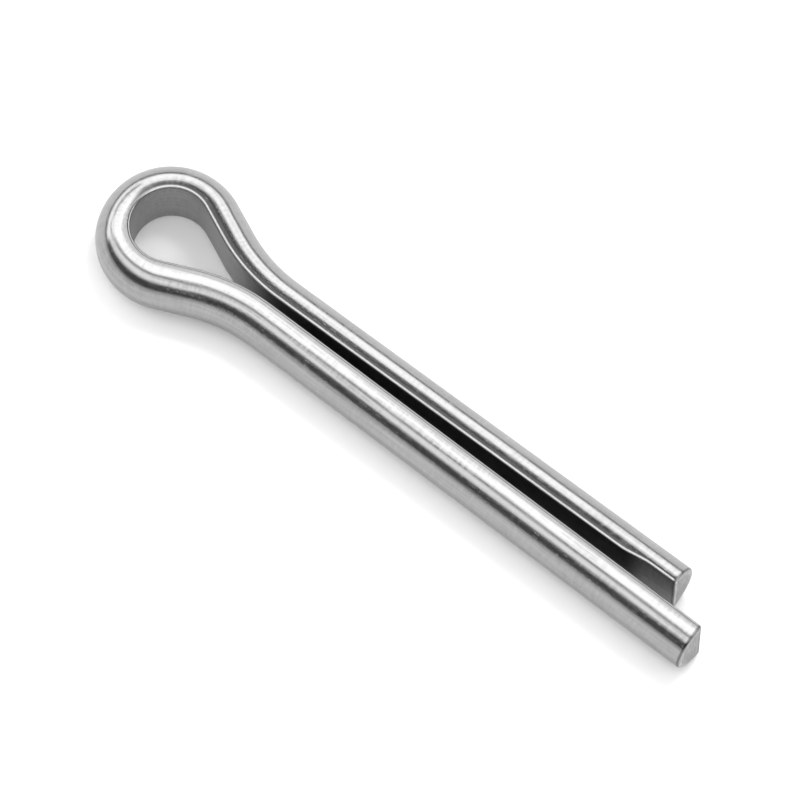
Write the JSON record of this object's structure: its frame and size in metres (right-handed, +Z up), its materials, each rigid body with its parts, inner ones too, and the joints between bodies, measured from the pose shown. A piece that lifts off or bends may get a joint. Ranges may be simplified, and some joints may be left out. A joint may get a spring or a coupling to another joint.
{
  "type": "cotter pin",
  "caption": "Split pin bent from half-round wire: a round eye, a necked shank and a pair of straight legs, one longer, that are spread to lock a pin or castle nut.",
  "frame": {"origin": "under the middle of the pin's box, on the surface that it lies on", "axes": "+X along the pin from the eye to the cut ends, +Y towards the short leg, +Z up, square to the plane that the wire is bent in"},
  "size_m": [0.0608, 0.0122, 0.0058],
  "materials": {
    "wire": "drawn and polished steel wire, with fine lines along the wire and matt sheared ends"
  },
  "bodies": {
    "root": {"cotter_pin": "wire"}
  },
  "joints": []
}
